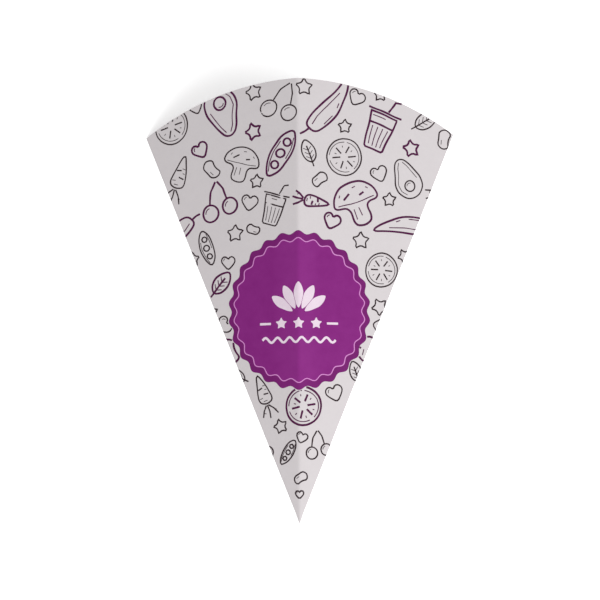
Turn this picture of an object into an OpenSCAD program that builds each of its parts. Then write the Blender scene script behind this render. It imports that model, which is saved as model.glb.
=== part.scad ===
// Paper fry cone: one printed sheet folded into four flat panels and glued along a lap.
// Millimetres. It lies on its back left panel, tip towards -Y, mouth towards +Y, front up.

/* [Sheet] */
// Length of a side crease, from the tip to a mouth corner
side_len = 260; // [200:1:320]
// Width of one panel at its mouth corner, square to its centre crease
panel_w = 100; // [70:1:130]
// Rise of the curved mouth edge above the corners, at a centre crease
crown = 31; // [15:1:50]
// Angle that each panel leans back from flat when the cone is part open
lean = 16.5; // [8:0.5:40]
// Thickness of the paper
paper_t = 0.3; // [0.2:0.05:0.8]

/* [Glue lap] */
// Width of the lap that is glued inside, beside the back crease
lap_w = 18; // [10:1:30]
// Distance from the tip to the lower end of the lap
lap_start = 40; // [30:1:80]
// Slope of the cut at the lower end of the lap
lap_cut = 50; // [30:1:60]

/* [Print] */
// Thickness of one printed layer
ink_t = 0.1; // [0.05:0.01:0.2]
// Bare strip between the print and the centre crease
fold_gap = 0.1; // [0.05:0.05:1]
// Half the width of a middle-sized figure of the pattern
figure_size = 10; // [6:0.5:14]
// Line width of the heavy outlines
bold_line = 1.3; // [0.6:0.1:2]
// Line width of the light outlines
fine_line = 0.9; // [0.4:0.1:1.5]

/* [Seal] */
// Distance from the tip to the middle of the seal
seal_along = 128.5; // [100:0.5:180]
// Size of the seal along the crease
seal_len = 97; // [60:1:110]
// Size of the seal across the crease
seal_w = 90.2; // [60:0.1:110]
// Number of waves round the edge of the seal
scallops = 26; // [12:1:40]
// Depth of the waves
scallop_depth = 2.2; // [0.5:0.1:5]
// Bare ring between the seal and the pattern round it
seal_margin = 0.6; // [0.2:0.1:3]
// Distance from the edge of the seal to its pale line
ring_inset = 4; // [2:0.1:8]
// Width of the pale line
ring_line = 0.7; // [0.4:0.1:1.5]

/* [Seal ornament] */
// Length of each leaf of the spray
spray_leaf = 17; // [8:0.5:20]
// Angle between neighbouring leaves of the spray
spray_step = 27; // [15:1:40]
// Distance from the middle of the seal down to the foot of the spray
spray_down = 3.5; // [0:0.5:8]
// Radius of the stars in the middle row
mark_star = 4; // [2:0.5:6]
// Distance between the stars in the middle row
star_step = 11; // [8:0.5:14]
// Distance from the middle of the seal down to the middle row
row_down = 8; // [6:0.5:12]
// Length of the dash at each end of the middle row
dash_len = 7; // [3:0.5:10]
// Length of the wavy line in the lowest row
wave_len = 46; // [20:1:56]
// Height of the waves of that line
wave_h = 3; // [1:0.1:4]
// Distance from the middle of the seal down to the wavy line
wave_down = 18; // [15:0.5:22]
// Line width of the dashes and the wavy line
mark_line = 1.5; // [0.6:0.1:2.5]

/* [Hidden] */
// Angle of one panel at the tip
half_angle = asin(panel_w / side_len);
corner_up = side_len * cos(half_angle);
crease_len = corner_up + crown;
// Radius and centre of the mouth arc, on the centre crease
rim_r = (panel_w * panel_w + crown * crown) / (2 * crown);
rim_centre = crease_len - rim_r;
// Angle between a centre crease and the axis of the cone
tilt = atan(panel_w * sin(lean) / corner_up);
// Reach of the cutting shapes, beyond the mouth
reach = 2 * side_len;
// Extra angle of a flat panel past its creases, trimmed where panels meet
spill = 2;
// Share of the paper that the lap bites into, so that the two are one solid
lap_bite = 0.5;
rim_steps = 60;
arc_facets = 240;

paper_colour = [0.84, 0.82, 0.825];
seal_colour = [0.5, 0.17, 0.48];
mark_colour = [0.97, 0.93, 0.97];
bold_colour = [0.4, 0.13, 0.36];
fine_colour = [0.27, 0.21, 0.25];

// Turning a point about each axis
function rx(v, a) = [v.x, v.y * cos(a) - v.z * sin(a), v.y * sin(a) + v.z * cos(a)];
function ry(v, a) = [v.x * cos(a) + v.z * sin(a), v.y, v.z * cos(a) - v.x * sin(a)];
function rz(v, a) = [v.x * cos(a) - v.y * sin(a), v.x * sin(a) + v.y * cos(a), v.z];

// A flat panel point on the standing front panel of one side, and the same laid down to rest
function stood(p, side) = rx(rz([p.x, -p.z, p.y], side * lean), tilt);
function laid(v) = ry(rx(rz(rx(rz(v, 180), -tilt), -lean), -90), 180);

// The front crease is turned until it runs along Y, seen from above
front_crease = laid(stood([0, 1, 0], 1));
turn = atan2(front_crease.x, front_crease.y);

// Distance from the tip to the mouth arc, at an angle from the centre crease
function rim_at(a) = rim_centre * cos(a) + sqrt(rim_r * rim_r - pow(rim_centre * sin(a), 2));

rim_points = [
    for (back = [0, 180], side = [-1, 1], depth = [0, -paper_t], k = [0 : rim_steps])
        let (a = half_angle * k / rim_steps, r = rim_at(a))
        rz(laid(rz(stood([side * r * sin(a), r * cos(a), depth], side), back)), turn)
];
all_x = concat([0], [for (p = rim_points) p.x]);
all_y = concat([0], [for (p = rim_points) p.y]);
mid_x = (min(all_x) + max(all_x)) / 2;
mid_y = (min(all_y) + max(all_y)) / 2;

// Laying the standing cone on its back left panel, centred over the origin
module lay_down() {
    translate([-mid_x, -mid_y, 0])
        rotate([0, 0, turn])
            rotate([0, 180, 0])
                rotate([-90, 0, 0])
                    rotate([0, 0, -lean])
                        rotate([-tilt, 0, 0])
                            rotate([0, 0, 180])
                                children();
}

// Standing a flat panel, crease along Y and printed face up, as the front panel of one side
module stand(side) {
    rotate([tilt, 0, 0])
        rotate([0, 0, side * lean])
            rotate([90, 0, 0])
                children();
}

// What lies in the quarter of the standing cone that holds the front panel of one side
module quarter(side) {
    intersection() {
        children();
        translate([side < 0 ? -reach : 0, -reach, -reach])
            cube([reach, reach, 2 * reach]);
    }
}

module mouth_disc() {
    translate([0, rim_centre])
        circle(r = rim_r, $fn = arc_facets);
}

module panel_face() {
    wide = half_angle + spill;
    intersection() {
        polygon([
            [0, 0],
            [reach * sin(wide), reach * cos(wide)],
            [0, reach],
            [-reach * sin(wide), reach * cos(wide)]
        ]);
        mouth_disc();
    }
}

module panel(side) {
    quarter(side)
        stand(side)
            translate([0, 0, -paper_t])
                linear_extrude(paper_t)
                    panel_face();
}

module lap_face() {
    intersection() {
        polygon([
            [-fold_gap, lap_start],
            [lap_w, lap_start + lap_w * tan(lap_cut)],
            [lap_w, reach],
            [-fold_gap, reach]
        ]);
        mouth_disc();
    }
}

module lap() {
    quarter(1)
        stand(1)
            translate([0, 0, -2 * paper_t])
                linear_extrude(paper_t * (1 + lap_bite))
                    lap_face();
}

module cone() {
    color(paper_colour)
        lay_down() {
            for (side = [-1, 1]) {
                panel(side);
                rotate([0, 0, 180])
                    panel(side);
            }
            rotate([0, 0, 180])
                lap();
        }
}

// The part of a flat print that lies on the front panel of one side
module panel_print(side) {
    intersection() {
        children();
        polygon([
            [side * fold_gap, fold_gap / tan(half_angle)],
            [side * reach * tan(half_angle), reach],
            [side * fold_gap, reach]
        ]);
        mouth_disc();
    }
}

// A flat print folded over both front panels, on top of the layers under it
module printed(layer) {
    lay_down()
        for (side = [-1, 1])
            stand(side)
                translate([0, 0, layer * ink_t])
                    linear_extrude(ink_t)
                        panel_print(side)
                            children();
}

// The waved outline of the seal, moved inwards, with a number of points to each wave
function seal_points(inset, per_wave) = [
    for (k = [0 : scallops * per_wave - 1])
        let (
            a = 360 * k / (scallops * per_wave),
            dip = inset + scallop_depth * (1 - cos(scallops * a)) / 2
        )
        [(seal_w / 2 - dip) * sin(a), seal_along + (seal_len / 2 - dip) * cos(a)]
];

seal_wave_points = 6;
ring_wave_points = 4;

module seal() {
    color(seal_colour)
        printed(0)
            polygon(seal_points(0, seal_wave_points));
}

// A closed outline moved inwards by the width of its line
function inner(p, w) = [
    for (k = [0 : len(p) - 1])
        let (
            before = p[(k + len(p) - 1) % len(p)],
            after = p[(k + 1) % len(p)],
            u = (p[k] - before) / norm(p[k] - before),
            v = (after - p[k]) / norm(after - p[k]),
            across = [u.y + v.y, -u.x - v.x] / (1 + u * v)
        )
        p[k] + w * across
];

module outline(p, w) {
    difference() {
        polygon(p);
        polygon(inner(p, w));
    }
}

// A straight line of a given width between two points
module bar(a, b, w) {
    dir = (b - a) / norm(b - a);
    side = [-dir.y, dir.x] * w / 2;
    polygon([a - side, b - side, b + side, a + side]);
}

function star_points(r, hub) = [
    for (k = [0 : 9])
        (k % 2 == 0 ? r : r * hub) * [sin(36 * k), cos(36 * k)]
];

function ring_points(n, r, mid = [0, 0]) = [
    for (k = [0 : n - 1])
        mid + r * [sin(360 * k / n), cos(360 * k / n)]
];

star_hub = 0.47;
leaf_half = [[0, 0], [0.16, 0.3], [0.2, 0.58], [0.12, 0.84], [0, 1]];
leaf_full = concat(leaf_half, [for (k = [3 : -1 : 1]) [-leaf_half[k].x, leaf_half[k].y]]);
wave_count = 6;
wave_steps = 36;

module spray() {
    for (k = [-2 : 2])
        translate([0, -spray_down])
            rotate(-k * spray_step)
                translate([0, spray_leaf / 4])
                    polygon(spray_leaf * leaf_full);
}

module star_row() {
    for (k = [-1 : 1])
        translate([k * star_step, -row_down])
            polygon(star_points(mark_star, star_hub));
    for (side = [-1, 1])
        bar(
            [side * 1.6 * star_step, -row_down],
            [side * (1.6 * star_step + dash_len), -row_down],
            mark_line
        );
}

module wave_row() {
    wave = [
        for (k = [0 : wave_steps])
            [wave_len * (k / wave_steps - 0.5), wave_h / 2 * sin(360 * wave_count * k / wave_steps)]
    ];
    translate([0, -wave_down])
        polygon(concat(
            [for (p = wave) p + [0, mark_line / 2]],
            [for (k = [wave_steps : -1 : 0]) wave[k] - [0, mark_line / 2]]
        ));
}

module seal_marks() {
    color(mark_colour)
        printed(1) {
            difference() {
                polygon(seal_points(ring_inset, ring_wave_points));
                polygon(seal_points(ring_inset + ring_line, ring_wave_points));
            }
            translate([0, seal_along]) {
                spray();
                star_row();
                wave_row();
            }
        }
}

// Kinds of figure in the pattern
SLICE = 0;
AVOCADO = 1;
CUP = 2;
MUSHROOM = 3;
CARROT = 4;
CHILLI = 5;
POD = 6;
CHERRY = 7;
LEAF = 8;
STAR = 9;
HEART = 10;
BEAN = 11;

// Closed outlines of each kind, clockwise, in units of its size
outlines = [
    [ring_points(14, 0.95)],
    [
        [
            [0, 1], [0.24, 0.9], [0.4, 0.6], [0.52, 0.25], [0.68, -0.15], [0.62, -0.6], [0.3, -0.92],
            [-0.05, -0.98], [-0.4, -0.88], [-0.66, -0.52], [-0.66, -0.1], [-0.5, 0.28], [-0.38, 0.62],
            [-0.22, 0.9]
        ],
        ring_points(8, 0.27, [0, -0.38])
    ],
    [[[-0.5, 0.42], [0.52, 0.4], [0.36, -0.88], [0.3, -0.94], [-0.3, -0.94], [-0.36, -0.88]]],
    [
        [
            [-1, 0.02], [-0.9, 0.48], [-0.52, 0.83], [0, 0.95], [0.5, 0.85], [0.88, 0.5], [1, 0],
            [0.36, -0.06], [0.42, -0.78], [0.05, -0.92], [-0.4, -0.8], [-0.34, -0.06]
        ]
    ],
    [[[-0.34, 0.34], [0, 0.46], [0.32, 0.32], [0.26, -0.2], [0.04, -1], [-0.2, -0.3]]],
    [
        [
            [-0.8, 0.42], [-0.52, 0.72], [-0.2, 0.5], [0.12, 0.06], [0.52, -0.4], [0.95, -0.82],
            [0.38, -0.7], [-0.18, -0.4], [-0.62, 0.04]
        ]
    ],
    [
        [
            [-1, 0.05], [-0.62, 0.3], [0, 0.4], [0.62, 0.3], [1, -0.02], [0.6, -0.3], [0, -0.36],
            [-0.6, -0.26]
        ],
        ring_points(6, 0.16, [-0.46, 0.02]),
        ring_points(6, 0.18, [0, 0.03]),
        ring_points(6, 0.16, [0.46, 0])
    ],
    [ring_points(9, 0.42, [-0.5, -0.5]), ring_points(9, 0.4, [0.52, -0.42])],
    [
        [
            [0, 1], [0.34, 0.62], [0.5, 0.12], [0.38, -0.4], [0, -0.72], [-0.38, -0.42], [-0.5, 0.1],
            [-0.34, 0.6]
        ]
    ],
    [star_points(1, star_hub)],
    [
        [
            [0, -0.9], [-0.56, -0.32], [-0.9, 0.14], [-0.84, 0.56], [-0.48, 0.8], [-0.14, 0.66],
            [0, 0.38], [0.16, 0.68], [0.5, 0.8], [0.86, 0.54], [0.9, 0.12], [0.54, -0.36]
        ]
    ],
    [
        [
            [-0.9, 0.1], [-0.6, 0.62], [0, 0.6], [0.6, 0.66], [0.95, 0.1], [0.6, -0.5], [0.1, -0.3],
            [-0.3, -0.3], [-0.7, -0.42]
        ]
    ]
];

// Single strokes of each kind, in units of its size
strokes = [
    [
        [[-0.62, 0.04], [-0.2, 0.02]], [[0.2, -0.02], [0.62, -0.05]], [[-0.34, 0.52], [-0.12, 0.2]],
        [[0.36, 0.5], [0.12, 0.2]], [[-0.3, -0.56], [-0.1, -0.2]], [[0.34, -0.54], [0.12, -0.2]]
    ],
    [],
    [
        [[-0.64, 0.52], [0.66, 0.5]], [[0.12, 0.56], [0.24, 1]], [[0.24, 1], [0.46, 1.06]],
        [[-0.42, 0.02], [0.44, 0]]
    ],
    [[[-0.5, 0.3], [-0.2, 0.5]], [[0.2, 0.32], [0.42, 0.38]]],
    [
        [[-0.02, 0.56], [-0.34, 1]], [[0.03, 0.6], [0.05, 1.08]], [[0.08, 0.54], [0.38, 0.96]],
        [[-0.18, 0.04], [0.04, 0]], [[0.16, -0.24], [0, -0.28]]
    ],
    [[[-0.7, 0.68], [-0.82, 0.9]]],
    [],
    [[[-0.42, -0.02], [0.1, 0.92]], [[0.46, 0.06], [0.18, 0.92]]],
    [[[0, -0.98], [0, 0.5]]],
    [],
    [],
    []
];

// Each figure: kind, share of the crease length from the tip, share of the panel angle
// from the front crease, size, turn. The light ones come second.
bold_places = [
    [AVOCADO, 0.95, -0.48, 1.6, 200],
    [CHILLI, 0.94, 0.18, 2, 95],
    [CUP, 0.92, 0.54, 1.7, 340],
    [POD, 0.83, -0.12, 1.7, 60],
    [CHERRY, 0.755, -0.65, 1.3, 15],
    [MUSHROOM, 0.73, 0.48, 1.5, 20],
    [CHILLI, 0.71, 0.92, 1.8, 226],
    [SLICE, 0.26, 0.1, 1.2, 15],
    [CARROT, 0.72, 0.12, 1.2, 80],
    [HEART, 0.88, -0.68, 0.6, 30],
    [STAR, 0.89, 0.77, 0.6, 10],
    [LEAF, 0.57, -0.84, 1, 320],
    [BEAN, 0.42, 1, 0.9, 70],
    [STAR, 0.89, -0.3, 0.6, 20],
    [HEART, 0.68, 0.29, 0.6, 340]
];
fine_places = [
    [SLICE, 0.96, -0.82, 1.2, 20],
    [STAR, 0.98, -0.27, 0.6, 15],
    [CHERRY, 0.95, -0.1, 1.3, 340],
    [HEART, 0.97, 0.36, 0.6, 330],
    [LEAF, 0.96, 0.8, 1, 300],
    [BEAN, 0.94, 0.96, 0.7, 80],
    [CARROT, 0.84, -0.88, 1.6, 160],
    [BEAN, 0.83, -0.63, 0.7, 130],
    [MUSHROOM, 0.82, -0.42, 1.2, 345],
    [LEAF, 0.83, 0.08, 0.9, 20],
    [SLICE, 0.83, 0.33, 1.2, 10],
    [HEART, 0.81, 0.6, 0.6, 20],
    [AVOCADO, 0.82, 0.8, 1.3, 25],
    [STAR, 0.65, 0.99, 0.5, 30],
    [POD, 0.66, -0.85, 1.2, 110],
    [HEART, 0.73, -0.4, 0.6, 350],
    [CUP, 0.715, -0.2, 1.3, 345],
    [BEAN, 0.77, 0.17, 0.6, 40],
    [STAR, 0.76, 0.72, 0.5, 0],
    [STAR, 0.67, -0.57, 0.6, 0],
    [SLICE, 0.6, 0.83, 1.1, 0],
    [STAR, 0.65, 0.57, 0.6, 0],
    [HEART, 0.61, -0.7, 0.5, 0],
    [STAR, 0.52, 0.94, 0.6, 30],
    [HEART, 0.48, -0.97, 0.6, 300],
    [LEAF, 0.36, 0.95, 0.8, 20],
    [CARROT, 0.3, -0.7, 1.4, 200],
    [HEART, 0.3, 0.7, 0.6, 20],
    [STAR, 0.22, -0.5, 0.5, 20],
    [CHERRY, 0.18, 0.6, 0.9, 10],
    [POD, 0.16, -0.4, 0.9, 60],
    [BEAN, 0.1, 0.1, 0.5, 30],
    [STAR, 0.775, -0.32, 0.5, 0],
    [BEAN, 0.67, -0.4, 0.5, 160],
    [STAR, 0.98, 0.04, 0.6, 0],
    [HEART, 0.98, -0.64, 0.5, 20],
    [HEART, 0.19, 0.08, 0.4, 340],
    [STAR, 0.9, 0.31, 0.5, 0],
    [STAR, 0.99, 0.5, 0.5, 0],
    [HEART, 0.065, 0, 0.3, 0]
];

module figure(kind, size, w) {
    for (p = outlines[kind])
        outline(size * p, w);
    for (s = strokes[kind])
        bar(size * s[0], size * s[1], w);
}

// The figures of one list. The pattern goes on round the side creases, so a figure
// that crosses one side crease comes in again over the other.
module figures(places, w) {
    difference() {
        for (place = places, wrap = [-2, 0, 2]) {
            along = place[1] * crease_len;
            around = (place[2] + wrap) * half_angle;
            size = place[3] * figure_size;
            if (abs(around) < half_angle + asin(min(1, size / along)))
                rotate(-around)
                    translate([0, along])
                        rotate(place[4] + place[2] * half_angle)
                            figure(place[0], size, w);
        }
        polygon(seal_points(-seal_margin, seal_wave_points));
    }
}

module pattern_bold() {
    color(bold_colour)
        printed(0)
            figures(bold_places, bold_line);
}

module pattern_fine() {
    color(fine_colour)
        printed(0)
            figures(fine_places, fine_line);
}

cone();
seal();
seal_marks();
pattern_bold();
pattern_fine();
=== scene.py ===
import math

import bpy
import numpy as np
from mathutils import Matrix


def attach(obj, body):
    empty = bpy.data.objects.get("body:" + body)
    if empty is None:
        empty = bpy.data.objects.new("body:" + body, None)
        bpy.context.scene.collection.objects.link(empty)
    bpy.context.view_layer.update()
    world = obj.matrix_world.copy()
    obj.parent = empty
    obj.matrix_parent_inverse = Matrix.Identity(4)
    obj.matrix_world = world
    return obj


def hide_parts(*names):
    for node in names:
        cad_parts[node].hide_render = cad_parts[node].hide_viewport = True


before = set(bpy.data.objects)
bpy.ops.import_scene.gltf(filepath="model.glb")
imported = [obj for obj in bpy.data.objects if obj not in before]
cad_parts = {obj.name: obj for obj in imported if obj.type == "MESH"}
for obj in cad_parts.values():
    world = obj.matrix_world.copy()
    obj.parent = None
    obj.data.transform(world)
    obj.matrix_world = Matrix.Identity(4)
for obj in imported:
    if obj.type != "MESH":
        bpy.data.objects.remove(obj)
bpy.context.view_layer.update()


# THE FOLDED SHEET
# One piece of smooth white board, 0.3 mm thick and printed on its outside only. It is cut
# with a curved mouth edge, creased along four rays from the tip, glued to itself along a
# lap inside the back, and opened a little. It lies on its left back panel.

MM = 0.001
SIDE_LENGTH = 260 * MM
PANEL_WIDTH = 100 * MM
CROWN = 31 * MM
LEAN = math.radians(16.5)
BOARD = 0.3 * MM
CREASE_ROUNDING = 1.1 * MM
FRONT_ROUNDING = 2.2 * MM
SMOOTH_BELOW = math.radians(40)

PANEL_ANGLE = math.asin(PANEL_WIDTH / SIDE_LENGTH)
CORNER_UP = SIDE_LENGTH * math.cos(PANEL_ANGLE)
CREASE_LENGTH = CORNER_UP + CROWN
MOUTH_RADIUS = (PANEL_WIDTH**2 + CROWN**2) / (2 * CROWN)
MOUTH_CENTRE = CREASE_LENGTH - MOUTH_RADIUS
CREASE_TILT = math.atan(PANEL_WIDTH * math.sin(LEAN) / CORNER_UP)


def turned(axis, angle):
    return np.array(Matrix.Rotation(angle, 3, axis))


def standing(side):
    """Stands a flat panel, crease up Y and print up Z, as the front panel of one side."""
    return turned("X", CREASE_TILT) @ turned("Z", side * LEAN) @ turned("X", math.pi / 2)


half_turn = turned("Z", math.pi)
lying = turned("Y", math.pi) @ np.linalg.inv(half_turn @ standing(1))
front_crease = lying @ standing(1)[:, 1]
lying = turned("Z", math.atan2(front_crease[0], front_crease[1])) @ lying

# Each panel: its frame, the angle of its centre crease, and how far its middle bows
# outwards at the mouth. The one that the cone lies on stays flat.
PANELS = {
    "front_right": (lying @ standing(1), 0, 0.5 * MM),
    "front_left": (lying @ standing(-1), 0, 0.7 * MM),
    "back_right": (lying @ half_turn @ standing(-1), 2 * PANEL_ANGLE, -0.6 * MM),
    "back_left": (lying @ half_turn @ standing(1), -2 * PANEL_ANGLE, 0),
}


def on_panel(name, angle):
    if name == "front_right":
        return (angle >= 0) & (angle < PANEL_ANGLE)
    if name == "front_left":
        return (angle >= -PANEL_ANGLE) & (angle < 0)
    return angle >= PANEL_ANGLE if name == "back_right" else angle < -PANEL_ANGLE


def wrapped(angle):
    return (angle + 2 * PANEL_ANGLE) % (4 * PANEL_ANGLE) - 2 * PANEL_ANGLE


def ray_direction(angle):
    """Which way a ray of the sheet points, for its angle from the front crease."""
    angle = wrapped(angle)
    way = np.zeros(angle.shape + (3,))
    for name, (panel, crease, _) in PANELS.items():
        mine = on_panel(name, angle)
        off_crease = (angle[mine] - crease)[:, None]
        way[mine] = np.cos(off_crease) * panel[:, 1] + np.sin(off_crease) * panel[:, 0]
    return way


def mouth_at(angle):
    """Distance from the tip to the mouth edge, at an angle from the front crease."""
    off_crease = np.abs(angle)
    off_crease = np.where(off_crease > PANEL_ANGLE, 2 * PANEL_ANGLE - off_crease, off_crease)
    across = MOUTH_CENTRE * np.sin(off_crease)
    return MOUTH_CENTRE * np.cos(off_crease) + np.sqrt(MOUTH_RADIUS**2 - across**2)


# The box round the cone has the middle of its base over the origin.
round_mouth = np.linspace(-2 * PANEL_ANGLE, 2 * PANEL_ANGLE, 481)
rim = ray_direction(round_mouth) * mouth_at(round_mouth)[:, None]
tip = -(np.minimum(rim.min(0), 0) + np.maximum(rim.max(0), 0)) / 2
tip[2] = 0

# Faint pinches beside the front crease: distance up the sheet, their two ends measured
# from the crease, and their height
PINCHES = (
    (253 * MM, -25 * MM, -7 * MM, 0.3 * MM),
    (234 * MM, -20 * MM, 0, 0.35 * MM),
    (197 * MM, -17 * MM, -11 * MM, 0.24 * MM),
)
PINCH_WIDTH = 2.6 * MM
# The ripple of the bowed panels: its height, and how fast it turns, in radians a metre
RIPPLE = 0.05 * MM
RIPPLE_ACROSS, RIPPLE_SLANT, RIPPLE_ALONG = 190, 60, 47


def relief(right, up, angle, radius):
    """How far the sheet stands off its flat panels, outwards."""
    height = np.zeros(angle.shape)
    along = radius / SIDE_LENGTH
    for name, (_, crease, bow) in PANELS.items():
        mine = on_panel(name, angle)
        across = np.sin(math.pi * np.abs(angle[mine] - crease) / PANEL_ANGLE)
        slanted = np.sin(RIPPLE_ACROSS * right[mine] + RIPPLE_SLANT * up[mine])
        ripple = slanted * np.sin(RIPPLE_ALONG * up[mine] + 1)
        height[mine] = (bow * along[mine] + (RIPPLE * ripple if bow else 0)) * along[mine] * across
    for at, start, end, rise in PINCHES:
        middle, half = (start + end) / 2, (end - start) / 2
        sideways = np.exp(-(((right - middle) / half) ** 4))
        height += rise * sideways * np.exp(-(((up - at) / PINCH_WIDTH) ** 2))
    return height


# A crease is rounded by a weighted mean of rays to both sides, over no more than a share
# of the panel.
ROUNDING_RAYS = 17
LEAST_WEIGHT = 0.02
WIDEST_ROUNDING = 0.4 * PANEL_ANGLE
LEAST_RADIUS = 0.0001 * MM


def sheet_surface(right, up):
    """The printed face of the sheet: its creases rounded, its panels slightly bowed."""
    radius = np.maximum(np.hypot(right, up), LEAST_RADIUS)
    angle = np.arctan2(right, up)
    rounding = np.where(np.abs(angle) < PANEL_ANGLE / 2, FRONT_ROUNDING, CREASE_ROUNDING)
    reach = np.minimum(rounding / radius, WIDEST_ROUNDING)
    place, total = 0, 0
    for step in np.linspace(-1, 1, ROUNDING_RAYS):
        weight = 1 + LEAST_WEIGHT + math.cos(math.pi * step)
        place = place + weight * ray_direction(angle + step * reach)
        total += weight
    angle = wrapped(angle)
    outwards = np.zeros(place.shape)
    for name, (panel, _, _) in PANELS.items():
        outwards[on_panel(name, angle)] = panel[:, 2]
    height = relief(right, up, angle, radius)
    return place * (radius / total)[:, None] + outwards * height[:, None] + tip


def folded(flat):
    """Carries points of the flat sheet (right, up from the tip, above the print) to the cone."""
    right, up, above = flat.T
    step = 0.02 * MM
    along_x = sheet_surface(right + step, up) - sheet_surface(right - step, up)
    along_y = sheet_surface(right, up + step) - sheet_surface(right, up - step)
    normal = np.cross(along_x, along_y)
    normal /= np.maximum(np.linalg.norm(normal, axis=1), 1e-20)[:, None]
    return sheet_surface(right, up) + normal * above[:, None]


def points_of(piece):
    flat = np.empty(len(piece.data.vertices) * 3)
    piece.data.vertices.foreach_get("co", flat)
    return flat.reshape(-1, 3)


def move_points(piece, points):
    piece.data.vertices.foreach_set("co", np.asarray(points, dtype=float).ravel())
    piece.data.update()


def only(piece):
    """Leaves one piece selected and active."""
    bpy.ops.object.select_all(action="DESELECT")
    piece.select_set(True)
    bpy.context.view_layer.objects.active = piece


def paper_grid(name, columns, rows):
    """A flat grid, with the column and the share up it of each of its points."""
    bpy.ops.object.select_all(action="DESELECT")
    bpy.ops.mesh.primitive_grid_add(x_subdivisions=columns, y_subdivisions=rows, size=1)
    piece = bpy.context.active_object
    piece.name = piece.data.name = name
    points = points_of(piece)
    return piece, np.rint((points[:, 0] + 0.5) * columns).astype(int), points[:, 1] + 0.5


# The grid's columns become rays from the tip, closest at the creases, and its last row
# becomes the mouth edge. The rays near a crease are given in degrees from it.
NEAR_CREASE = (0, 0.05, 0.1, 0.15, 0.2, 0.26, 0.34, 0.44, 0.58, 0.78, 1.05, 1.4, 1.9, 2.6, 3.5)
RAYS_TO_MIDDLE = 7
to_middle = np.linspace(math.radians(NEAR_CREASE[-1]), PANEL_ANGLE / 2, RAYS_TO_MIDDLE)
half_panel = list(np.radians(NEAR_CREASE)) + list(to_middle[1:])
one_panel = np.array(half_panel + [PANEL_ANGLE - a for a in half_panel[-2:0:-1]])
rays = np.concatenate([k * PANEL_ANGLE + one_panel for k in (-2, -1, 0, 1)] + [[2 * PANEL_ANGLE]])
ROWS = 182
TIP_HOLE = 0.6 * MM
SEAM_GAP = 0.6 * MM
WIDEST_SEAM = 0.3 * PANEL_ANGLE
THINNED_TIP = 20 * MM
THINNEST_SHARE = 0.1
SHEET_WELD = 0.002 * MM

sheet, column, share = paper_grid("folded_sheet", len(rays) - 1, ROWS)
ray = rays[column]
length = TIP_HOLE + share * (mouth_at(ray) - TIP_HOLE)
seam = np.minimum(SEAM_GAP / length, WIDEST_SEAM)
ray = np.where(
    ray < -PANEL_ANGLE,
    -PANEL_ANGLE + (ray + PANEL_ANGLE) * (1 - seam / PANEL_ANGLE),
    ray,
)
flat = np.stack([length * np.sin(ray), length * np.cos(ray), 0 * ray], axis=1)
move_points(sheet, folded(flat))
# Near the tip the wall thins, so that its inside doesn't run into itself.
wall = sheet.vertex_groups.new(name="wall")
for point, up_sheet in enumerate(length):
    wall.add([point], min(1, up_sheet / THINNED_TIP), "REPLACE")

# The lap goes on from the last ray, past the back crease, under the left back panel.
LAP_FROM_TIP = 40 * MM
LAP_CLEARANCE = 0.03 * MM
LAP_WIDTH = 18 * MM
LAP_CUT = math.tan(math.radians(50))
LAP_COLUMNS = 24
first_row = math.ceil((LAP_FROM_TIP - TIP_HOLE) / (CREASE_LENGTH - TIP_HOLE) * ROWS)
lap_start = TIP_HOLE + first_row / ROWS * (CREASE_LENGTH - TIP_HOLE)
lap, column, share = paper_grid("lap", LAP_COLUMNS, ROWS - first_row)
past = LAP_WIDTH * (column / LAP_COLUMNS) ** 2
low_end = lap_start + LAP_CUT * past
high_end = MOUTH_CENTRE + np.sqrt(MOUTH_RADIUS**2 - past**2)
up_crease = low_end + share * (high_end - low_end)
last_ray = 2 * PANEL_ANGLE
under = -(BOARD + LAP_CLEARANCE) * np.minimum(past / SEAM_GAP, 1)
flat = np.stack(
    [
        up_crease * math.sin(last_ray) + past * math.cos(last_ray),
        up_crease * math.cos(last_ray) - past * math.sin(last_ray),
        under,
    ],
    axis=1,
)
move_points(lap, folded(flat))
lap.vertex_groups.new(name="wall").add(range(len(lap.data.vertices)), 1, "REPLACE")

only(sheet)
lap.select_set(True)
bpy.ops.object.join()
bpy.ops.object.mode_set(mode="EDIT")
bpy.ops.mesh.select_all(action="SELECT")
bpy.ops.mesh.remove_doubles(threshold=SHEET_WELD)
bpy.ops.object.mode_set(mode="OBJECT")
board = sheet.modifiers.new("board", "SOLIDIFY")
board.thickness = BOARD
board.offset = -1
board.vertex_group = "wall"
board.thickness_vertex_group = THINNEST_SHARE
bpy.ops.object.modifier_apply(modifier="board")
bpy.ops.object.shade_smooth_by_angle(angle=SMOOTH_BELOW)


class Value:
    """A number that varies over a surface, so that sums on it are written as Python."""

    def __init__(self, nodes, socket):
        self.nodes, self.socket = nodes, socket

    def _sum(self, operation, first, second):
        return self.nodes.node("ShaderNodeMath", {"operation": operation}, {0: first, 1: second})

    def __add__(self, other):
        return self._sum("ADD", self, other)

    def __sub__(self, other):
        return self._sum("SUBTRACT", self, other)

    def __rsub__(self, other):
        return self._sum("SUBTRACT", other, self)

    def __mul__(self, other):
        return self._sum("MULTIPLY", self, other)

    __radd__ = __add__


class Nodes:
    """The one way in which nodes are added to a tree."""

    def __init__(self, tree):
        self.tree = tree

    def node(self, kind, settings, sockets, output=0):
        made = self.tree.nodes.new(kind)
        for setting, value in settings.items():
            setattr(made, setting, value)
        for name, value in sockets.items():
            self.feed(made.inputs[name], value)
        return Value(self, made.outputs[output])

    def feed(self, socket, value):
        if isinstance(value, Value):
            self.tree.links.new(value.socket, socket)
        else:
            socket.default_value = value


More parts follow.
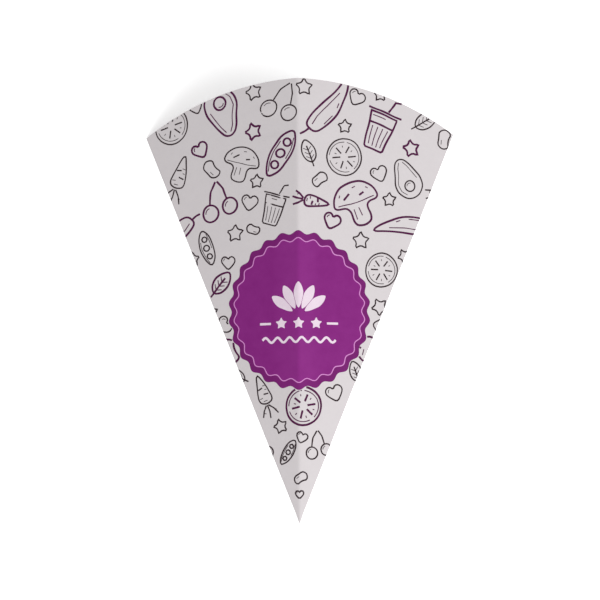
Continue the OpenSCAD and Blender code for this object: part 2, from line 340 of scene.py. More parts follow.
class Finish(Nodes):
    """A material whose looks follow the place on the piece."""

    def __init__(self, name, **constants):
        self.material = bpy.data.materials.new(name)
        self.material.use_nodes = True
        super().__init__(self.material.node_tree)
        self.shader = self.tree.nodes["Principled BSDF"]
        for socket, value in constants.items():
            self.shader.inputs[socket.replace("_", " ")].default_value = value
        self.place = self.node("ShaderNodeTexCoord", {}, {}, "Object")

    def noise(self, scale, detail=2.0, roughness=0.5):
        """Noise about 0, from -0.5 to 0.5."""
        sockets = {"Vector": self.place, "Scale": scale, "Detail": detail, "Roughness": roughness}
        return self.node("ShaderNodeTexNoise", {}, sockets) - 0.5

    def mix(self, share, first, second):
        sockets = {0: share, 6: first, 7: second}
        return self.node("ShaderNodeMix", {"data_type": "RGBA"}, sockets, 2)

    def finish(self, colour, roughness, height, depth):
        """Feeds the shader: colour, roughness and a bump of a height that varies."""
        self.feed(self.shader.inputs["Base Color"], colour)
        self.feed(self.shader.inputs["Roughness"], roughness)
        sockets = {"Height": height, "Distance": depth, "Strength": 1.0}
        bump = self.node("ShaderNodeBump", {}, sockets)
        self.feed(self.shader.inputs["Normal"], bump)
        return self.material


# White board: fine even grain, cloudy formation a few millimetres across, and short fibres.
BOARD_DULL = (0.668, 0.626, 0.639, 1)
BOARD_BRIGHT = (0.712, 0.672, 0.685, 1)
BOARD_GRAIN = 0.012 * MM
board_white = Finish("board_white", Specular_IOR_Level=0.2)
clouds = board_white.noise(210, 4, 0.6)
fibres = board_white.noise(1500, 3, 0.7)
grain = board_white.noise(5200, 2, 0.6)
tone = 0.5 + clouds * 0.9 + fibres * 0.5
sheet_colour = board_white.mix(tone, BOARD_DULL, BOARD_BRIGHT)
sheet_roughness = 0.78 + clouds * 0.1 + fibres * 0.12
sheet_grain = grain + fibres * 0.8 + clouds * 0.6
sheet_material = board_white.finish(sheet_colour, sheet_roughness, sheet_grain, BOARD_GRAIN)
sheet.data.materials.append(sheet_material)
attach(sheet, "root")
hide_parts("cone")


# THE SEAL
# A flat field of purple ink over the front crease, with a waved edge. It is printed on the
# flat sheet before folding, and coloured a little paler beside the crease: a painted highlight.

SEAL_ALONG = 128.5 * MM
SEAL_LENGTH = 97 * MM
SEAL_WIDTH = 90.2 * MM
SEAL_WAVES = 26
WAVE_DEPTH = 2.2 * MM
INK_UNDER = 0.02 * MM
INK_OVER = 0.035 * MM
INK_GRAIN = 0.008 * MM
PRINT_WELD = 0.004 * MM


def seal_dip(around):
    """How far the seal's waved edge dips inwards, at an angle round its middle."""
    return WAVE_DEPTH * (1 - np.cos(SEAL_WAVES * around)) / 2


def seal_outline(inset_right, inset_up, steps_per_wave):
    """The waved outline of the seal on the flat sheet, moved inwards."""
    around = np.linspace(0, 2 * math.pi, SEAL_WAVES * steps_per_wave, endpoint=False)
    dip = seal_dip(around)
    right = (SEAL_WIDTH / 2 - inset_right - dip) * np.sin(around)
    up = SEAL_ALONG + (SEAL_LENGTH / 2 - inset_up - dip) * np.cos(around)
    return np.stack([right, up], axis=1)


def flat_curve(name, lines, closed=True, radii=None):
    """A flat curve object with one spline to each line of points."""
    curve = bpy.data.curves.new(name, "CURVE")
    curve.dimensions = "2D"
    for number, line in enumerate(lines):
        spline = curve.splines.new("POLY")
        spline.points.add(len(line) - 1)
        for k, (right, up) in enumerate(line):
            spline.points[k].co = (right, up, 0, 1)
            spline.points[k].radius = radii[number][k] if radii else 1
        spline.use_cyclic_u = closed if isinstance(closed, bool) else closed[number]
    piece = bpy.data.objects.new(name, curve)
    bpy.context.scene.collection.objects.link(piece)
    return piece


def made_mesh(piece, rise):
    """Turns a flat curve to a closed mesh and lifts it off the sheet's printed face."""
    only(piece)
    bpy.ops.object.convert(target="MESH")
    bpy.ops.object.mode_set(mode="EDIT")
    bpy.ops.mesh.select_all(action="SELECT")
    bpy.ops.mesh.remove_doubles(threshold=PRINT_WELD)
    bpy.ops.mesh.normals_make_consistent(inside=False)
    bpy.ops.transform.translate(value=(0, 0, rise))
    bpy.ops.object.mode_set(mode="OBJECT")


def cut_along(piece, cuts):
    """Cuts a flat mesh along lines: a point of each, and its direction across."""
    only(piece)
    bpy.ops.object.mode_set(mode="EDIT")
    for point, across in cuts:
        bpy.ops.mesh.select_all(action="SELECT")
        bpy.ops.mesh.bisect(plane_co=(*point, 0), plane_no=(*across, 0))
    bpy.ops.object.mode_set(mode="OBJECT")


CUTS_PER_CREASE = 9


def crease_cuts(creases):
    """Cuts that let a flat print bend round creases, given by number from the front one."""
    cuts = []
    for crease in creases:
        angle = crease * PANEL_ANGLE
        across = (math.cos(angle), -math.sin(angle))
        reach = CREASE_ROUNDING if crease else FRONT_ROUNDING
        for off in np.linspace(-reach, reach, CUTS_PER_CREASE):
            cuts.append(((off * across[0], off * across[1]), across))
    return cuts


def fold_print(piece):
    move_points(piece, folded(points_of(piece)))
    only(piece)
    bpy.ops.object.shade_smooth_by_angle(angle=SMOOTH_BELOW)


SEAL_STEPS = 10
seal = flat_curve("seal_print", [seal_outline(0, 0, SEAL_STEPS)])
seal.data.fill_mode = "BOTH"
seal.data.extrude = (INK_UNDER + INK_OVER) / 2
made_mesh(seal, (INK_OVER - INK_UNDER) / 2)

# The band outside the waved line is printed a little deeper.
RING_INSET = (3.3 * MM, 4.4 * MM)
BAND_OVER = 0.015 * MM
band_edges = [seal_outline(0, 0, SEAL_STEPS), seal_outline(*RING_INSET, SEAL_STEPS)]
band = flat_curve("band", band_edges)
band.data.fill_mode = "BOTH"
band.data.extrude = (INK_OVER + BAND_OVER) / 2
made_mesh(band, (INK_OVER + BAND_OVER) / 2)

# A grid of cuts lets both fields follow the bowed panels.
GRID_STEP = 5 * MM
CUTS_EACH_WAY = 9
half_grid = np.arange(1, CUTS_EACH_WAY + 1) * GRID_STEP
grid_cuts = [((0, SEAL_ALONG + s * g), (0, 1)) for g in half_grid for s in (-1, 1)]
grid_cuts += [((s * g, 0), (1, 0)) for g in half_grid for s in (-1, 1)]
for print_piece in (seal, band):
    cut_along(print_piece, grid_cuts + crease_cuts((0,)))
    fold_print(print_piece)

PURPLE = (0.224, 0.014, 0.196, 1)
PURPLE_THIN = (0.262, 0.024, 0.232, 1)
BAND_PURPLE = (0.165, 0.009, 0.14, 1)
BAND_THIN = (0.205, 0.016, 0.176, 1)
# Painted highlight on the seal's inks beside the front crease: how far it reaches, and how much paler it
# makes them
HIGHLIGHT_REACH = 14 * MM
PAINTED_CREASE_HIGHLIGHT = 0.6


def ink_finish(name, full, thin, shine, painted_highlight=0.0):
    """Printing ink: thinner in small clouds, with a painted highlight beside the front crease."""
    ink = Finish(name, Specular_IOR_Level=0.12)
    clouds = ink.noise(160, 3, 0.6)
    specks = ink.noise(2600, 2, 0.6)
    thin_ink_and_highlight = 0.3 + clouds * 1.3 + specks * 0.9
    # Painted highlight: the ink is made paler the closer it lies to the front crease
    if painted_highlight:
        across = ink.node("ShaderNodeSeparateXYZ", {}, {0: ink.place})
        off_crease = (across - tip[0]) * (1 / HIGHLIGHT_REACH)
        beside = {0: 1 - off_crease * off_crease, 1: 0.0}
        thin_ink_and_highlight = thin_ink_and_highlight + ink.node("ShaderNodeMath", {"operation": "MAXIMUM"}, beside) * painted_highlight
    colour = ink.mix(thin_ink_and_highlight, full, thin)
    return ink.finish(colour, shine + clouds * 0.12 + specks * 0.1, specks, INK_GRAIN)


# Both seal inks carry the painted highlight beside the crease.
seal.data.materials.append(ink_finish("purple_ink", PURPLE, PURPLE_THIN, 0.5, PAINTED_CREASE_HIGHLIGHT))
band.data.materials.append(ink_finish("deep_purple_ink", BAND_PURPLE, BAND_THIN, 0.5, PAINTED_CREASE_HIGHLIGHT))
only(seal)
band.select_set(True)
bpy.ops.object.join()
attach(seal, "root")
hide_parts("seal")


# THE MARKS ON THE SEAL
# A thin waved lilac line inside the edge and, where the purple ink leaves the board bare, an
# ornament in the middle: five leaves, three stars between dashes, and a wavy line. They are
# part of the print, so they fold with the sheet.

RING_LINE = 0.85 * MM
MARK_LINE = 1.5 * MM
MARK_OVER = 0.06 * MM
CORNER_CUT = 0.22


def printed_lines(name, lines, closed, width, rise, radii=None):
    """Printed strokes: a tube along each line, pressed flat, and closed at its ends."""
    piece = flat_curve(name, lines, closed, radii)
    piece.data.fill_mode = "NONE"
    piece.data.bevel_depth = width / 2
    piece.data.bevel_resolution = 0
    piece.data.use_fill_caps = True
    made_mesh(piece, 0)
    points = points_of(piece)
    half_height = np.abs(points[:, 2]).max()
    only(piece)
    bpy.ops.object.mode_set(mode="EDIT")
    bpy.ops.mesh.select_all(action="SELECT")
    pressed = (INK_OVER + INK_UNDER) / 2 / half_height
    bpy.ops.transform.resize(value=(1, 1, pressed), center_override=(0, 0, 0))
    bpy.ops.transform.translate(value=(0, 0, rise - (INK_OVER + INK_UNDER) / 2))
    bpy.ops.object.mode_set(mode="OBJECT")
    return piece


def star(radius, hub=0.47):
    """A star of five points, its inner corners at a share of its radius."""
    corners = np.arange(10)
    turns = corners * math.pi / 5
    reach = np.where(corners % 2 == 0, radius, radius * hub)
    return np.stack([reach * np.sin(turns), reach * np.cos(turns)], axis=1)


def softened(points, times):
    """Rounds the corners of a closed outline by cutting them off, again and again."""
    points = np.asarray(points, dtype=float)
    for _ in range(times):
        after = np.roll(points, -1, axis=0)
        edge = after - points
        cut = np.stack([points + CORNER_CUT * edge, after - CORNER_CUT * edge], axis=1)
        points = cut.reshape(-1, 2)
    return points


def turned_by(points, degrees):
    """Turns flat points round the origin, anticlockwise as seen with up as Y."""
    cosine, sine = math.cos(math.radians(degrees)), math.sin(math.radians(degrees))
    return np.asarray(points) @ np.array([[cosine, sine], [-sine, cosine]])


LEAF_LENGTH = 17 * MM
LEAF_OUT = LEAF_LENGTH / 4
SPRAY_STEP = 27
SPRAY_DOWN = 3.5 * MM
leaf_side = np.array([[0, 0], [0.09, 0.16], [0.125, 0.3], [0.19, 0.58], [0.12, 0.84], [0, 1]])
leaf_outline = np.concatenate([leaf_side, leaf_side[-2:0:-1] * (-1, 1)])
leaf_outline = softened(leaf_outline, 2) * LEAF_LENGTH + (0, LEAF_OUT)
spray = [turned_by(leaf_outline, -k * SPRAY_STEP) - (0, SPRAY_DOWN) for k in range(-2, 3)]
STAR_RADIUS = 4 * MM
STAR_STEP = 11 * MM
ROW_DOWN = 8 * MM
stars = [softened(star(STAR_RADIUS), 1) + (k * STAR_STEP, -ROW_DOWN) for k in (-1, 0, 1)]
middle_of_seal = (0, SEAL_ALONG)

marks = flat_curve("seal_marks_print", [shape + middle_of_seal for shape in spray + stars])
marks.data.fill_mode = "BOTH"
marks.data.extrude = (MARK_OVER - INK_UNDER) / 2
made_mesh(marks, (MARK_OVER + INK_UNDER) / 2)

DASH_LENGTH = 7 * MM
DASH_START = 1.6 * STAR_STEP
DASH_END = DASH_START + DASH_LENGTH
WAVE_LENGTH, WAVE_HEIGHT, WAVE_DOWN = 46 * MM, 3 * MM, 18 * MM
WAVE_COUNT = 6
RING_STEPS = 12
dashes = [
    np.linspace((side * DASH_START, -ROW_DOWN), (side * DASH_END, -ROW_DOWN), 6)
    for side in (-1, 1)
]
steps = np.linspace(-0.5, 0.5, 12 * WAVE_COUNT + 1)
swing = np.sin(2 * math.pi * WAVE_COUNT * steps)
wave = np.stack([steps * WAVE_LENGTH, WAVE_HEIGHT / 2 * swing], axis=1)
lines = [line + middle_of_seal for line in dashes + [wave - (0, WAVE_DOWN)]]
mark_lines = printed_lines("mark_lines", lines, False, MARK_LINE, MARK_OVER)
ring_line = seal_outline(*RING_INSET, RING_STEPS)
ring = printed_lines("ring", [ring_line], True, RING_LINE, MARK_OVER)

BARE = (0.82, 0.67, 0.79, 1)
BARE_PALE = (0.9, 0.79, 0.87, 1)
LILAC = (0.68, 0.25, 0.62, 1)
LILAC_THIN = (0.78, 0.35, 0.72, 1)
bare_board = ink_finish("bare_board", BARE, BARE_PALE, 0.7)
marks.data.materials.append(bare_board)
mark_lines.data.materials.append(bare_board)
ring.data.materials.append(ink_finish("lilac_tint", LILAC, LILAC_THIN, 0.6))
only(marks)
mark_lines.select_set(True)
ring.select_set(True)
bpy.ops.object.join()
cut_along(marks, crease_cuts((0,)))
fold_print(marks)

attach(marks, "root")
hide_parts("seal_marks")


# THE PATTERN ROUND THE CONE
# Outline figures of food, leaves, stars and hearts, printed over the whole outside of the
# sheet and cut off at its edges: some in heavy purple lines, most in light dark ones. The
# pattern repeats after two panels, so it goes on round the side creases.

BOLD_LINE = 1.25 * MM
FINE_LINE = 0.88 * MM
HAIR_SHARE = 0.5
FIGURE_SIZE = 10 * MM
LOOP_UNEVEN = 0.03
ARC_POINTS = 8


def loop(points, radius, middle=(0, 0)):
    """A round outline, drawn by hand and so not quite even."""
    around = np.arange(points) * 2 * math.pi / points
    uneven = radius * (1 + LOOP_UNEVEN * np.sin(2 * around + 0.7))
    return np.stack([uneven * np.sin(around), uneven * np.cos(around)], axis=1) + middle


def arc(radius, start, end, middle=(0, 0)):
    """A part of a round line, between two directions in degrees, clockwise from up."""
    around = np.radians(np.linspace(start, end, ARC_POINTS))
    return radius * np.stack([np.sin(around), np.cos(around)], axis=1) + middle


def mirrored(line):
    return [(-x, y) for x, y in line]


# Each figure in units of its size: how often its corners are softened, its closed outlines,
# its single strokes, and the hairlines inside it
FIGURES = {
    "slice": (1, [loop(14, 0.95)], [
        [(-0.62, 0.04), (-0.2, 0.02)], [(0.2, -0.02), (0.62, -0.05)], [(-0.34, 0.52), (-0.12, 0.2)],
        [(0.36, 0.5), (0.12, 0.2)], [(-0.3, -0.56), (-0.1, -0.2)], [(0.34, -0.54), (0.12, -0.2)],
    ], [
        arc(0.78, 20, 150), arc(0.78, 170, 265), arc(0.78, 285, 370),
        [(-0.46, 0.26), (-0.36, 0.2)], [(0.4, 0.22), (0.48, 0.28)], [(0, -0.5), (0, -0.62)],
        [(0, 0.5), (0.01, 0.6)], [(-0.42, -0.24), (-0.52, -0.3)], [(0.42, -0.28), (0.5, -0.32)],
    ]),
    "avocado": (2, [
        [(0, 1), (0.24, 0.9), (0.4, 0.6), (0.52, 0.25), (0.68, -0.15), (0.62, -0.6), (0.3, -0.92),
         (-0.05, -0.98), (-0.4, -0.88), (-0.66, -0.52), (-0.66, -0.1), (-0.5, 0.28), (-0.38, 0.62),
         (-0.22, 0.9)],
        loop(8, 0.27, (0, -0.38)),
    ], [], [
        [(-0.04, 0.84), (-0.2, 0.62), (-0.32, 0.28), (-0.5, -0.12), (-0.48, -0.48), (-0.3, -0.72)],
        [(0.14, 0.8), (0.26, 0.54), (0.36, 0.22), (0.5, -0.16)], arc(0.15, 290, 400, (0, -0.38)),
    ]),
    "cup": (0, [
        [(-0.5, 0.42), (0.52, 0.4), (0.36, -0.88), (0.3, -0.94), (-0.3, -0.94), (-0.36, -0.88)],
    ], [
        [(-0.64, 0.52), (0.66, 0.5)], [(0.12, 0.56), (0.24, 1), (0.46, 1.06)], [(-0.42, 0.02), (0.44, 0)],
    ], [
        [(-0.3, -0.1), (-0.22, -0.8)], [(-0.1, -0.1), (-0.07, -0.84)], [(0.1, -0.1), (0.08, -0.84)],
        [(0.3, -0.1), (0.23, -0.8)], [(-0.4, 0.28), (0.1, 0.27)],
    ]),
    "mushroom": (2, [
        [(-1, 0.02), (-0.9, 0.48), (-0.52, 0.83), (0, 0.95), (0.5, 0.85), (0.88, 0.5), (1, 0),
         (0.36, -0.06), (0.42, -0.78), (0.05, -0.92), (-0.4, -0.8), (-0.34, -0.06)],
    ], [[(-0.5, 0.3), (-0.2, 0.5)], [(0.2, 0.32), (0.42, 0.38)]], [
        [(-0.8, 0.12), (-0.3, 0.08), (0.3, 0.07), (0.8, 0.12)], [(-0.2, -0.16), (-0.22, -0.6)],
        [(0.02, -0.14), (0.04, -0.5)], [(0, 0.7), (0.16, 0.72)], [(0.56, 0.56), (0.64, 0.48)],
        [(-0.66, 0.44), (-0.6, 0.54)],
    ]),
    "carrot": (2, [
        [(-0.34, 0.34), (0, 0.46), (0.32, 0.32), (0.26, -0.2), (0.04, -1), (-0.2, -0.3)],
    ], [
        [(-0.02, 0.5), (-0.2, 0.72), (-0.34, 1)], [(0.03, 0.5), (0.02, 0.8), (0.06, 1.08)],
        [(0.08, 0.5), (0.26, 0.7), (0.38, 0.96)], [(-0.2, 0.04), (0.02, 0)], [(0.2, -0.24), (0, -0.28)],
    ], [
        [(0.24, 0.16), (0.1, 0.14)], [(-0.14, -0.34), (-0.02, -0.36)], [(-0.17, -0.16), (-0.08, -0.18)],
        [(-0.06, 0.3), (0.12, 0.3)], [(-0.22, 0.84), (-0.3, 0.8)], [(0.2, 0.84), (0.3, 0.78)],
    ]),
    "chilli": (2, [
        [(-0.8, 0.42), (-0.52, 0.72), (-0.2, 0.5), (0.12, 0.06), (0.52, -0.4), (0.95, -0.82),
         (0.38, -0.7), (-0.18, -0.4), (-0.62, 0.04)],
    ], [[(-0.66, 0.62), (-0.75, 0.74), (-0.82, 0.9)]], [
        [(-0.52, 0.5), (-0.3, 0.34), (0, -0.04), (0.4, -0.46)], [(-0.56, 0.12), (-0.3, -0.16)],
        [(-0.06, -0.34), (0.08, -0.42)],
    ]),
    "pod": (2, [
        [(-1, 0.05), (-0.62, 0.3), (0, 0.4), (0.62, 0.3), (1, -0.02), (0.6, -0.3), (0, -0.36),
         (-0.6, -0.26)],
        loop(6, 0.16, (-0.46, 0.02)), loop(6, 0.18, (0, 0.03)), loop(6, 0.16, (0.46, 0)),
    ], [], [
        [(-0.78, 0.12), (-0.5, 0.23), (0, 0.29), (0.4, 0.25)], [(0.7, -0.16), (0.3, -0.24), (-0.1, -0.25)],
    ]),
    "cherry": (2, [loop(9, 0.42, (-0.5, -0.5)), loop(9, 0.4, (0.52, -0.42))], [
        [(-0.42, -0.06), (-0.24, 0.5), (0.1, 0.92)], [(0.46, 0), (0.4, 0.5), (0.18, 0.92)],
    ], [arc(0.26, 280, 360, (-0.5, -0.5)), arc(0.24, 280, 350, (0.52, -0.42))]),
    "leaf": (2, [
        [(0, 1), (0.34, 0.62), (0.5, 0.12), (0.38, -0.4), (0, -0.72), (-0.38, -0.42), (-0.5, 0.1),
         (-0.34, 0.6)],
    ], [[(0, -0.98), (0, 0.5)]], [
        line for rise in (-0.3, 0, 0.3) for vein in [[(0.04, rise - 0.1), (0.28, rise + 0.1)]]
        for line in (vein, mirrored(vein))
    ]),
    "star": (1, [star(1)], [], []),
    "heart": (2, [
        [(0, -0.9), (-0.56, -0.32), (-0.9, 0.14), (-0.84, 0.56), (-0.48, 0.8), (-0.14, 0.66),
         (0, 0.38), (0.16, 0.68), (0.5, 0.8), (0.86, 0.54), (0.9, 0.12), (0.54, -0.36)],
    ], [], [[(-0.6, 0.22), (-0.58, 0.42), (-0.4, 0.54)]]),
    "bean": (2, [
        [(-0.9, 0.1), (-0.6, 0.62), (0, 0.6), (0.6, 0.66), (0.95, 0.1), (0.6, -0.5), (0.1, -0.3),
         (-0.3, -0.3), (-0.7, -0.42)],
    ], [], [[(-0.5, 0.3), (-0.1, 0.34)]]),
}

# Each place: figure, share of the crease length from the tip, share of the panel angle from
# the crease, size, turn
BOLD_PLACES = (
    ("avocado", 0.95, -0.48, 1.6, 200), ("chilli", 0.94, 0.18, 2, 95), ("cup", 0.92, 0.54, 1.7, 340),
    ("pod", 0.83, -0.12, 1.7, 60), ("cherry", 0.755, -0.65, 1.3, 15),
    ("mushroom", 0.73, 0.48, 1.5, 20), ("chilli", 0.71, 0.92, 1.8, 226), ("slice", 0.26, 0.1, 1.2, 15),
    ("carrot", 0.72, 0.12, 1.2, 80), ("heart", 0.88, -0.68, 0.6, 30), ("star", 0.89, 0.77, 0.6, 10),
    ("leaf", 0.57, -0.84, 1, 320), ("bean", 0.42, 1, 0.9, 70), ("star", 0.89, -0.3, 0.6, 20),
    ("heart", 0.68, 0.29, 0.6, 340),
)
FINE_PLACES = (
    ("slice", 0.96, -0.82, 1.2, 20), ("star", 0.98, -0.27, 0.6, 15), ("cherry", 0.95, -0.1, 1.3, 340),
    ("heart", 0.97, 0.36, 0.6, 330), ("leaf", 0.96, 0.8, 1, 300), ("bean", 0.94, 0.96, 0.7, 80),
    ("carrot", 0.84, -0.88, 1.6, 160), ("bean", 0.83, -0.63, 0.7, 130),
    ("mushroom", 0.82, -0.42, 1.2, 345), ("leaf", 0.83, 0.08, 0.9, 20), ("slice", 0.83, 0.33, 1.2, 10),
    ("heart", 0.81, 0.6, 0.6, 20), ("avocado", 0.82, 0.8, 1.3, 25), ("star", 0.65, 0.99, 0.5, 30),
    ("pod", 0.66, -0.85, 1.2, 110), ("heart", 0.73, -0.4, 0.6, 350), ("cup", 0.715, -0.2, 1.3, 345),
    ("bean", 0.77, 0.17, 0.6, 40), ("star", 0.76, 0.72, 0.5, 0), ("star", 0.67, -0.57, 0.6, 0),
    ("slice", 0.6, 0.83, 1.1, 0), ("star", 0.65, 0.57, 0.6, 0), ("heart", 0.61, -0.7, 0.5, 0),
    ("star", 0.52, 0.94, 0.6, 30), ("heart", 0.48, -0.97, 0.6, 300), ("leaf", 0.36, 0.95, 0.8, 20),
    ("carrot", 0.3, -0.7, 1.4, 200), ("heart", 0.3, 0.7, 0.6, 20), ("star", 0.22, -0.5, 0.5, 20),
    ("cherry", 0.18, 0.6, 0.9, 10), ("pod", 0.16, -0.4, 0.9, 60), ("bean", 0.1, 0.1, 0.5, 30),
    ("star", 0.775, -0.32, 0.5, 0), ("bean", 0.67, -0.4, 0.5, 160), ("star", 0.98, 0.04, 0.6, 0),
    ("heart", 0.98, -0.64, 0.5, 20), ("heart", 0.19, 0.08, 0.4, 340), ("star", 0.9, 0.31, 0.5, 0),
    ("star", 0.99, 0.5, 0.5, 0), ("heart", 0.065, 0, 0.3, 0),
)
# Where the front has its seal, the back has more figures.
BACK_BOLD_PLACES = (
    ("cup", 0.57, -0.33, 1.6, 345), ("chilli", 0.47, 0.56, 1.9, 80), ("leaf", 0.335, 0.3, 0.8, 300),
    ("heart", 0.44, -0.75, 0.6, 20), ("star", 0.64, -0.03, 0.6, 10),
)
BACK_FINE_PLACES = (
    ("slice", 0.58, 0.34, 1.2, 0), ("avocado", 0.45, -0.28, 1.4, 160),
    ("carrot", 0.35, -0.37, 1, 120), ("cherry", 0.39, 0.1, 1, 350), ("leaf", 0.52, -0.76, 0.8, 40),
    ("heart", 0.52, 0.07, 0.6, 10), ("bean", 0.38, 0.72, 0.7, 50), ("star", 0.38, -0.85, 0.5, 0),
    ("bean", 0.53, 0.62, 0.6, 100),
)
STROKE_STEP = 1.3 * MM
SEAL_MARGIN = 0.6 * MM
EDGE_MARGIN = 0.25 * MM
BARE_TIP = 6 * MM
UNSTEADY = 0.01
SWAY_STEP = 2.6 * MM
WIDTH_SWING = 0.08
SWINGS_A_LINE = 2
FIGURE_REACH = 1.1


def even_steps(line, closed):
    """The same line, with points an even step apart."""
    line = np.asarray(line, dtype=float)
    if closed:
        line = np.concatenate([line, line[:1]])
    gone = np.concatenate([[0], np.cumsum(np.linalg.norm(np.diff(line, axis=0), axis=1))])
    at = np.linspace(0, gone[-1], max(3, round(gone[-1] / STROKE_STEP)) + 1)
    return np.stack([np.interp(at, gone, line[:, 0]), np.interp(at, gone, line[:, 1])], axis=1)


def room(points):
    """How far inside the printed field points are: the sheet's edges, and the seal."""
    right, up = points.T
    radius, angle = np.hypot(right, up), np.arctan2(right, up)
    to_mouth = mouth_at(np.clip(angle, -2 * PANEL_ANGLE, 2 * PANEL_ANGLE)) - EDGE_MARGIN - radius
    to_seam = (2 * PANEL_ANGLE - np.abs(angle)) * radius - SEAM_GAP - EDGE_MARGIN
    around = np.arctan2(right / SEAL_WIDTH, (up - SEAL_ALONG) / SEAL_LENGTH)
    dip = seal_dip(around)
    wide, high = SEAL_WIDTH / 2 - dip + SEAL_MARGIN, SEAL_LENGTH / 2 - dip + SEAL_MARGIN
    to_seal = (np.hypot(right / wide, (up - SEAL_ALONG) / high) - 1) * wide
    return np.minimum(np.minimum(to_mouth, to_seam), np.minimum(to_seal, radius - BARE_TIP))


def kept_parts(line):
    """The parts of a line that lie in the printed field, cut off where it ends."""
    inside = room(line)
    parts, part = [], []
    for k, point in enumerate(line):
        if k and (inside[k] > 0) != (inside[k - 1] > 0):
            share = inside[k - 1] / (inside[k - 1] - inside[k])
            part.append(line[k - 1] + share * (point - line[k - 1]))
            if inside[k] <= 0:
                parts.append(part)
                part = []
        if inside[k] > 0:
            part.append(point)
    return [np.array(p) for p in parts + [part] if len(p) > 1]


def figure_lines(kind):
    """The lines of a figure: points, whether they close, and their share of the line width."""
    soft, outlines, strokes, hairlines = FIGURES[kind]
    lines = [(softened(line, soft), True, 1) for line in outlines]
    lines += [(np.asarray(line), False, 1) for line in strokes]
    return lines + [(np.asarray(line), False, HAIR_SHARE) for line in hairlines]


def drawn(places, wraps):
    """The strokes of a list of figures on the flat sheet: points, whether they close, widths."""
    strokes = []
    for number, (kind, along, around, size, turn) in enumerate(places):
        at, scale = along * CREASE_LENGTH, size * FIGURE_SIZE
        for wrap in wraps:
            angle = (around + wrap) * PANEL_ANGLE
            if abs(angle) > 2 * PANEL_ANGLE + FIGURE_REACH * scale / at:
                continue
            middle = (at * math.sin(angle), at * math.cos(angle))
            for points, closes, share in figure_lines(kind):
                line = even_steps(points * scale, closes)
                line = line + UNSTEADY * scale * np.sin(line[:, ::-1] / SWAY_STEP + number)
                line = turned_by(line, turn - math.degrees(wrap * PANEL_ANGLE)) + middle
                closes = bool(closes and room(line).min() > 0)
                for part in [line[:-1]] if closes else kept_parts(line):
                    turns = SWINGS_A_LINE * np.arange(len(part)) / len(part)
                    beat = 2 * math.pi * turns + number
                    strokes.append((part, closes, share * (1 + WIDTH_SWING * np.sin(beat))))
    return strokes


def pattern_print(name, places, back_places, line_width):
    """Prints a list of figures all round the sheet, and the back's own figures on its back."""
    strokes = drawn(places, (-2, 0, 2)) + drawn(back_places, (-2, 2))
    lines, closes, widths = zip(*strokes)
    piece = printed_lines(name, lines, closes, line_width, INK_OVER, widths)
    cut_along(piece, crease_cuts((-1, 0, 1)))
    fold_print(piece)
    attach(piece, "root")
    return piece


DARK_PURPLE = (0.066, 0.005, 0.045, 1)
DARK_PURPLE_THIN = (0.105, 0.014, 0.075, 1)
PLUM_BLACK = (0.022, 0.011, 0.014, 1)
PLUM_BLACK_THIN = (0.046, 0.026, 0.033, 1)

bold = pattern_print("pattern_bold_print", BOLD_PLACES, BACK_BOLD_PLACES, BOLD_LINE)
bold_ink = ink_finish("dark_purple_ink", DARK_PURPLE, DARK_PURPLE_THIN, 0.6)
bold.data.materials.append(bold_ink)
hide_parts("pattern_bold")

fine = pattern_print("pattern_fine_print", FINE_PLACES, BACK_FINE_PLACES, FINE_LINE)
fine_ink = ink_finish("plum_black_ink", PLUM_BLACK, PLUM_BLACK_THIN, 0.65)
fine.data.materials.append(fine_ink)
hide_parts("pattern_fine")


# THE TABLE, THE LIGHT AND THE CAMERA
# A plain white table that the cone lies on, even light from all round, one wide soft lamp
# over the lower right, and a long lens that looks down on the front crease.

TABLE_UNDER = 0.15 * MM
TABLE_SIZE = 8
TABLE_PALE = (0.8, 0.8, 0.8, 1)
TABLE_SEEN = (1.6, 1.6, 1.6, 1)


def seen(nodes):
    """1 for rays that show the background, 0 for those that carry its light."""
    camera, glossy, through = (
        nodes.node("ShaderNodeLightPath", {}, {}, f"Is {ray} Ray")
        for ray in ("Camera", "Glossy", "Transmission")
    )
    either = nodes.node("ShaderNodeMath", {"operation": "MAXIMUM"}, {0: camera, 1: glossy})
    return nodes.node("ShaderNodeMath", {"operation": "MAXIMUM"}, {0: either, 1: through})


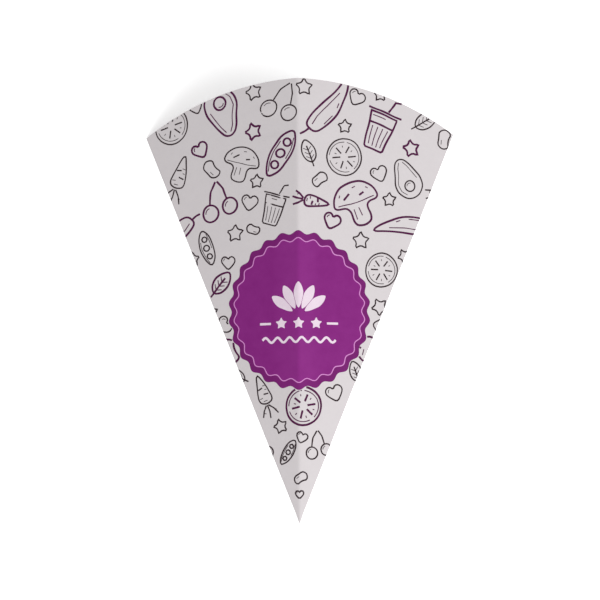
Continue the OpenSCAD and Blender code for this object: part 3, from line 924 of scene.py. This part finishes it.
bpy.ops.object.select_all(action="DESELECT")
bpy.ops.mesh.primitive_plane_add(size=TABLE_SIZE, location=(0, 0, -TABLE_UNDER))
table = bpy.context.active_object
table.name = "table"
pale = Finish("table_white", Specular_IOR_Level=0.0, Roughness=1.0)
table_colour = pale.mix(seen(pale), TABLE_PALE, TABLE_SEEN)
pale.feed(pale.shader.inputs["Base Color"], table_colour)
table.data.materials.append(pale.material)

ROOM_LIGHT = 0.63
world = bpy.data.worlds.new("studio")
world.use_nodes = True
bpy.context.scene.world = world
surroundings = Nodes(world.node_tree)
backdrop = surroundings.tree.nodes["Background"]
backdrop.inputs["Color"].default_value = (1, 1, 1, 1)
strength = ROOM_LIGHT + seen(surroundings) * (1 - ROOM_LIGHT)
surroundings.feed(backdrop.inputs["Strength"], strength)

LAMP_PLACE = (0.45, -0.62, 0.7)
LAMP_SIZE = 1.0
LAMP_ENERGY = 6.5
bpy.ops.object.light_add(type="AREA", location=LAMP_PLACE)
lamp = bpy.context.active_object
lamp.data.shape = "DISK"
lamp.data.size = LAMP_SIZE
lamp.data.energy = LAMP_ENERGY
lamp.rotation_euler = lamp.location.to_track_quat("Z", "Y").to_euler()

# The camera as matched to the photograph: its place from the tip and its turn, in a frame
# whose X is right, Y away from the viewer and Z up the front crease
LENS_PIXELS = 2037
IMAGE_PIXELS = 600
SENSOR_WIDTH = 36
PIXEL = 0.595 * MM
TIP_IN_VIEW = np.array([-0.4, LENS_PIXELS, -224.2]) * PIXEL
ROLL, PITCH, SIDEWAYS = np.radians((-0.29, -6.77, -2.15))
view_turn = turned("Y", ROLL) @ turned("X", PITCH) @ turned("Z", SIDEWAYS)
to_cone = lying @ turned("X", CREASE_TILT)
eye = tip - to_cone @ view_turn.T @ TIP_IN_VIEW
right, away, up = (to_cone @ view_turn.T @ axis for axis in np.eye(3))
camera_data = bpy.data.cameras.new("camera")
camera_data.sensor_width = SENSOR_WIDTH
camera_data.lens = LENS_PIXELS / IMAGE_PIXELS * SENSOR_WIDTH
camera_data.clip_start, camera_data.clip_end = 0.05, 20
camera = bpy.data.objects.new("camera", camera_data)
bpy.context.scene.collection.objects.link(camera)
placed = np.eye(4)
placed[:3, :4] = np.stack([right, up, -away, eye], axis=1)
camera.matrix_world = Matrix(placed.tolist())
bpy.context.scene.camera = camera
bpy.context.scene.view_settings.view_transform = "Standard"
